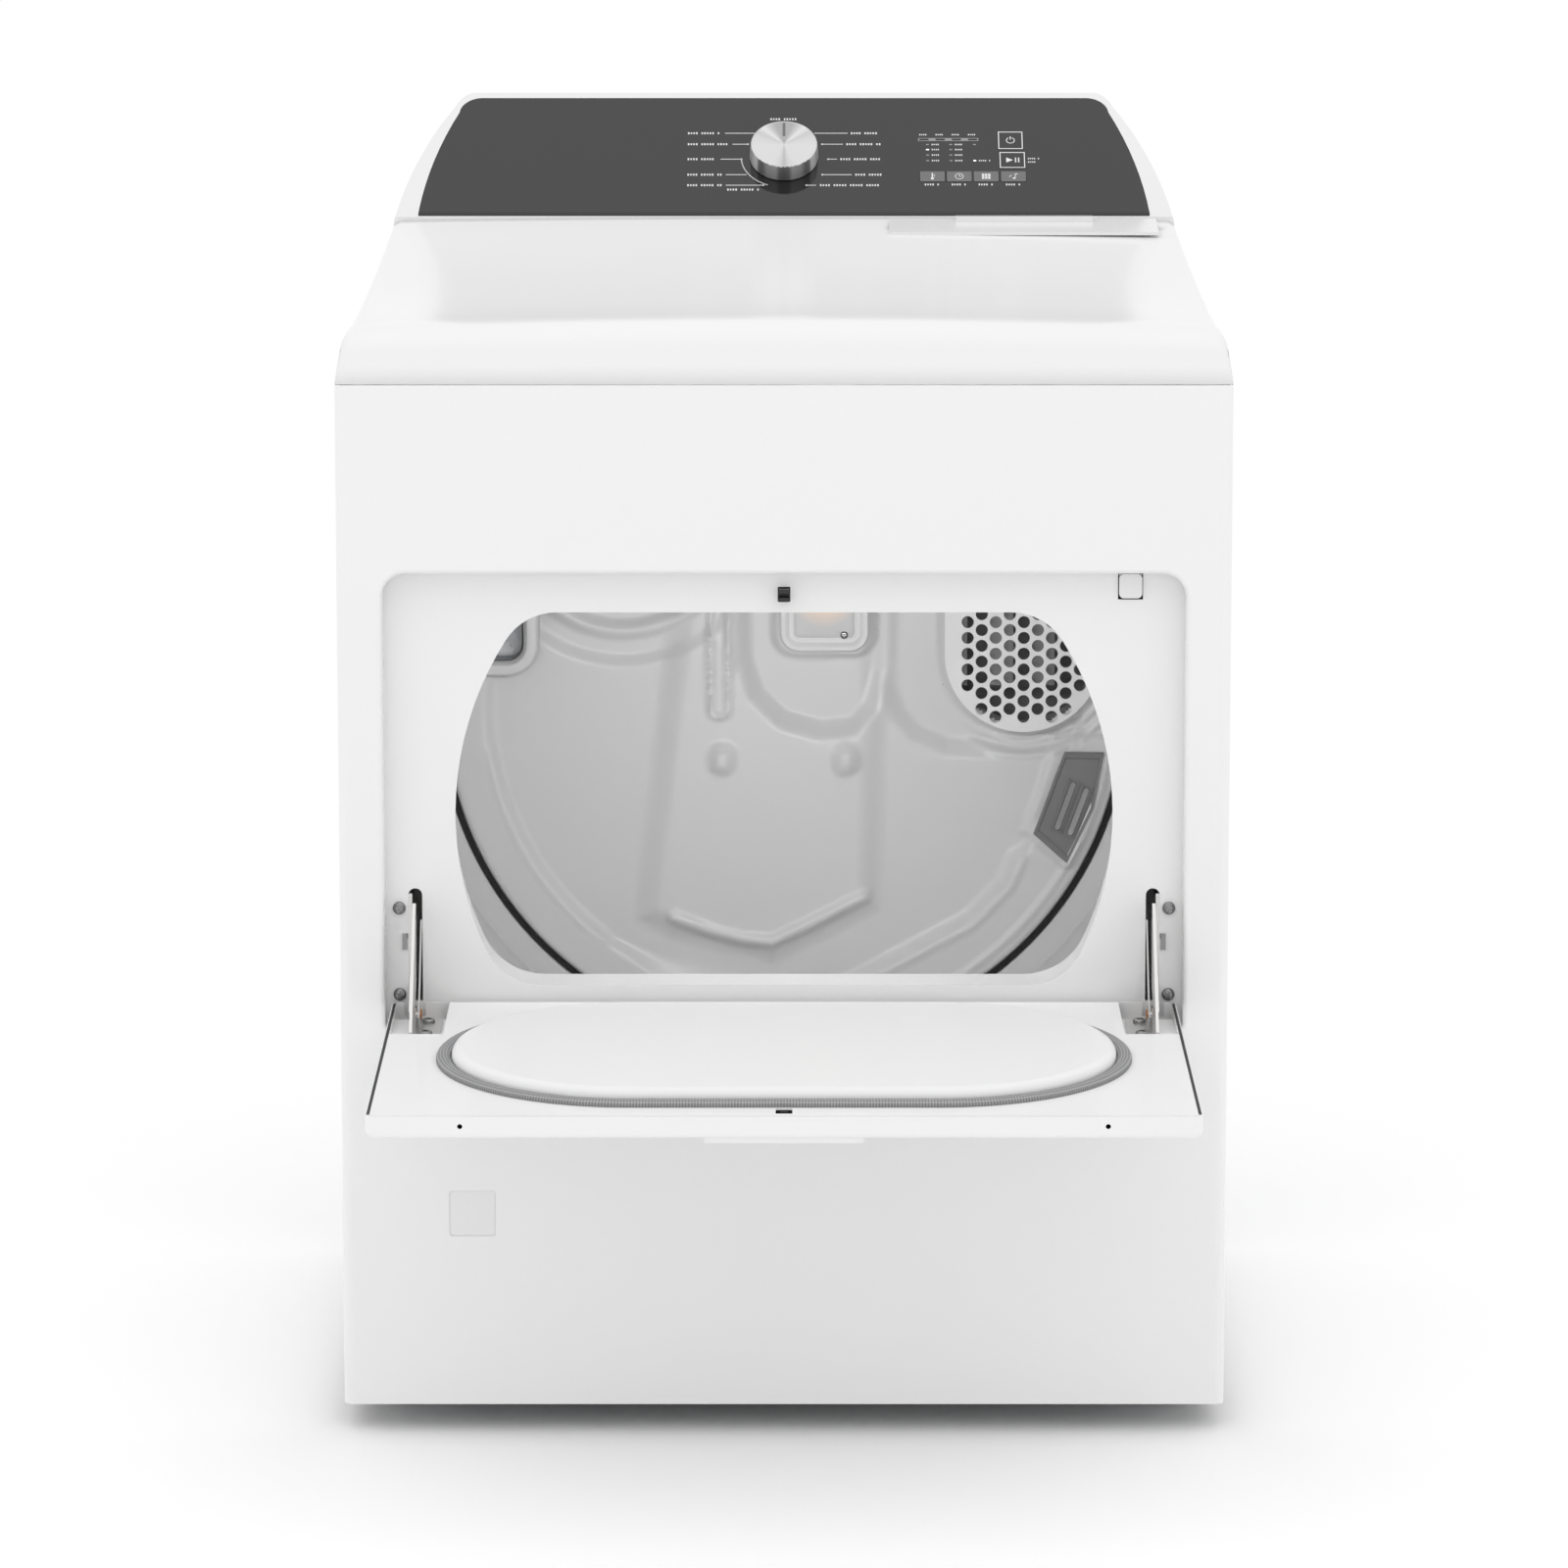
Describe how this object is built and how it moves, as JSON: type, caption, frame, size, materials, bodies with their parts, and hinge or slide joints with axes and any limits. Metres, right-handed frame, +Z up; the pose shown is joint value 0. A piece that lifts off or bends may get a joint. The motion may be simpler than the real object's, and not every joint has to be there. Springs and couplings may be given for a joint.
{
  "type": "clothes dryer",
  "caption": "Free-standing front-loading clothes dryer: white cabinet, pull-down door shown open over a recessed drum opening, rear control console with a selector knob.",
  "frame": {"origin": "on the floor, below the middle of the bounding box with the door open", "axes": "+X to the right of a person facing the machine, +Y from the front towards the back, +Z up"},
  "size_m": [0.7366, 1.073, 1.086],
  "materials": {
    "cabinet_paint": "white gloss enamel over steel",
    "deck_enamel": "white high-gloss enamel",
    "galvanised": "galvanised steel sheet",
    "white_plastic": "white moulded plastic",
    "bulkhead_paint": "light grey enamel, pressed sheet",
    "drum_paint": "light grey enamel",
    "baffle_plastic": "pale grey moulded plastic",
    "felt": "black felt ring",
    "seal_weave": "grey woven seal",
    "grille_steel": "perforated plate, light grey",
    "lens_plastic": "frosted clear lens",
    "bulb_glass": "warm lamp",
    "sensor_plastic": "mid grey moulded plastic",
    "sensor_metal": "stainless strips",
    "heater_wire": "resistance wire",
    "grey_plastic": "grey moulded plastic",
    "mesh_fabric": "fine lint mesh",
    "motor_steel": "dark painted motor body",
    "zinc_steel": "zinc-plated steel",
    "belt_rubber": "ribbed black belt",
    "black_rubber": "black rubber",
    "blower_plastic": "dark moulded plastic",
    "fascia_black": "glossy black panel",
    "knob_metal": "spun aluminium",
    "key_black": "glossy black key with white outline",
    "key_grey": "grey key",
    "board_green": "circuit board",
    "terminal_black": "black moulded block",
    "hinge_steel": "plated steel hinge",
    "screw_chrome": "bright plated screw",
    "black_plastic": "black moulded plastic",
    "foot_plastic": "dark foot with plated stem"
  },
  "bodies": {
    "cabinet": {"side_panel_left": "cabinet_paint", "side_panel_right": "cabinet_paint", "rear_panel": "galvanised", "base_pan": "galvanised", "front_panel": "cabinet_paint", "inspection_plug": "white_plastic", "front_bulkhead": "bulkhead_paint", "rear_bulkhead": "bulkhead_paint", "drum_seals": "felt", "outlet_grille": "grille_steel", "lamp_lens": "lens_plastic", "lamp_bulb": "bulb_glass", "moisture_sensor": "sensor_plastic", "sensor_strips": "sensor_metal", "heater_box": "galvanised", "heating_element": "heater_wire", "lint_chute": "grey_plastic", "motor_housing": "motor_steel", "motor_mount": "galvanised", "blower_housing": "blower_plastic", "exhaust_pipe": "galvanised", "drive_belt": "belt_rubber", "top_panel": "deck_enamel", "console_housing": "white_plastic", "console_fascia": "fascia_black", "control_board": "board_green", "terminal_block": "terminal_black", "hinge_brackets": "hinge_steel", "bracket_screws": "screw_chrome", "door_catch": "black_plastic", "door_switch_body": "black_plastic", "idler_spring": "zinc_steel"},
    "drum": {"drum_shell": "drum_paint", "drum_baffles": "baffle_plastic"},
    "rotor": {"motor_shaft": "zinc_steel", "blower_wheel": "blower_plastic"},
    "idler_arm": {"idler_arm": "zinc_steel"},
    "idler_pulley": {"idler_pulley": "grey_plastic"},
    "roller_left": {"drum_roller_left": "black_rubber"},
    "roller_right": {"drum_roller_right": "black_rubber"},
    "lint_screen": {"lint_screen_frame": "white_plastic", "lint_screen_mesh": "mesh_fabric"},
    "knob": {"cycle_knob": "knob_metal"},
    "door": {"door_outer_panel": "cabinet_paint", "door_inner_panel": "deck_enamel", "door_plate": "deck_enamel", "door_seal": "seal_weave", "door_strike": "black_plastic", "hinge_arms": "hinge_steel"},
    "door_switch": {"door_switch_lever": "white_plastic"},
    "power_button": {"power_button": "key_black"},
    "start_button": {"start_button": "key_black"},
    "temperature_button": {"temperature_button": "key_grey"},
    "time_button": {"time_button": "key_grey"},
    "options_button": {"options_button": "key_grey"},
    "signal_button": {"signal_button": "key_grey"},
    "leveling_foot_front_left": {"leveling_foot_front_left": "foot_plastic"},
    "leveling_foot_front_right": {"leveling_foot_front_right": "foot_plastic"},
    "leveling_foot_rear_left": {"leveling_foot_rear_left": "foot_plastic"},
    "leveling_foot_rear_right": {"leveling_foot_rear_right": "foot_plastic"}
  },
  "joints": [
    {"name": "door_hinge", "type": "hinge", "parent": "cabinet", "child": "door", "pos_m": [0, -0.16953, 0.3544], "axis": [-1, 0, 0], "range_deg": [0, 93.2]},
    {"name": "drum_spin", "type": "hinge", "parent": "cabinet", "child": "drum", "pos_m": [0, 0.17447, 0.533], "axis": [0, 1, 0], "continuous": true},
    {"name": "motor_spin", "type": "hinge", "parent": "cabinet", "child": "rotor", "pos_m": [0.215, 0.22146, 0.135], "axis": [0, 1, 0], "continuous": true},
    {"name": "idler_swing", "type": "hinge", "parent": "cabinet", "child": "idler_arm", "pos_m": [0.06, 0.13146, 0.062], "axis": [0, 1, 0], "range_deg": [0, 8], "stiffness_Nm_per_rad": 2, "springref_deg": -20.05, "deforming": ["idler_spring"]},
    {"name": "idler_spin", "type": "hinge", "parent": "idler_arm", "child": "idler_pulley", "pos_m": [0.11832, 0.12247, 0.12181], "axis": [0, 1, 0], "continuous": true},
    {"name": "roller_left_spin", "type": "hinge", "parent": "cabinet", "child": "roller_left", "pos_m": [-0.25406, 0.38647, 0.27894], "axis": [0, 1, 0], "continuous": true},
    {"name": "roller_right_spin", "type": "hinge", "parent": "cabinet", "child": "roller_right", "pos_m": [0.25406, 0.38647, 0.27894], "axis": [0, 1, 0], "continuous": true},
    {"name": "lint_screen_slide", "type": "slide", "parent": "cabinet", "child": "lint_screen", "axis": [0, -0.4772, 0.8788], "range_m": [0, 0.29]},
    {"name": "knob_turn", "type": "hinge", "parent": "cabinet", "child": "knob", "pos_m": [0, 0.45572, 1.03026], "axis": [0, -0.6468, 0.7627], "continuous": true},
    {"name": "door_switch_press", "type": "hinge", "parent": "cabinet", "child": "door_switch", "pos_m": [0.286, -0.14854, 0.718], "axis": [1, 0, 0], "range_deg": [0, 6], "stiffness_Nm_per_rad": 0.05, "springref_deg": -17.19},
    {"name": "power_button_press", "type": "slide", "parent": "cabinet", "child": "power_button", "axis": [0, 0.6468, -0.7627], "range_m": [0, 0.001], "stiffness_N_per_m": 1500, "springref_m": -0.0005},
    {"name": "start_button_press", "type": "slide", "parent": "cabinet", "child": "start_button", "axis": [0, 0.6468, -0.7627], "range_m": [0, 0.001], "stiffness_N_per_m": 1500, "springref_m": -0.0005},
    {"name": "temperature_button_press", "type": "slide", "parent": "cabinet", "child": "temperature_button", "axis": [0, 0.6468, -0.7627], "range_m": [0, 0.001], "stiffness_N_per_m": 1500, "springref_m": -0.0005},
    {"name": "time_button_press", "type": "slide", "parent": "cabinet", "child": "time_button", "axis": [0, 0.6468, -0.7627], "range_m": [0, 0.001], "stiffness_N_per_m": 1500, "springref_m": -0.0005},
    {"name": "options_button_press", "type": "slide", "parent": "cabinet", "child": "options_button", "axis": [0, 0.6468, -0.7627], "range_m": [0, 0.001], "stiffness_N_per_m": 1500, "springref_m": -0.0005},
    {"name": "signal_button_press", "type": "slide", "parent": "cabinet", "child": "signal_button", "axis": [0, 0.6468, -0.7627], "range_m": [0, 0.001], "stiffness_N_per_m": 1500, "springref_m": -0.0005},
    {"name": "leveling_foot_front_left_screw", "type": "slide", "parent": "cabinet", "child": "leveling_foot_front_left", "axis": [0, 0, -1], "range_m": [0, 0.025]},
    {"name": "leveling_foot_front_right_screw", "type": "slide", "parent": "cabinet", "child": "leveling_foot_front_right", "axis": [0, 0, -1], "range_m": [0, 0.025]},
    {"name": "leveling_foot_rear_left_screw", "type": "slide", "parent": "cabinet", "child": "leveling_foot_rear_left", "axis": [0, 0, -1], "range_m": [0, 0.025]},
    {"name": "leveling_foot_rear_right_screw", "type": "slide", "parent": "cabinet", "child": "leveling_foot_rear_right", "axis": [0, 0, -1], "range_m": [0, 0.025]}
  ],
  "couplings": [
    {"joint": "motor_spin", "follows": "drum_spin", "ratio": 30},
    {"joint": "idler_spin", "follows": "drum_spin", "ratio": -13.6},
    {"joint": "roller_left_spin", "follows": "drum_spin", "ratio": -16.95},
    {"joint": "roller_right_spin", "follows": "drum_spin", "ratio": -16.95}
  ]
}
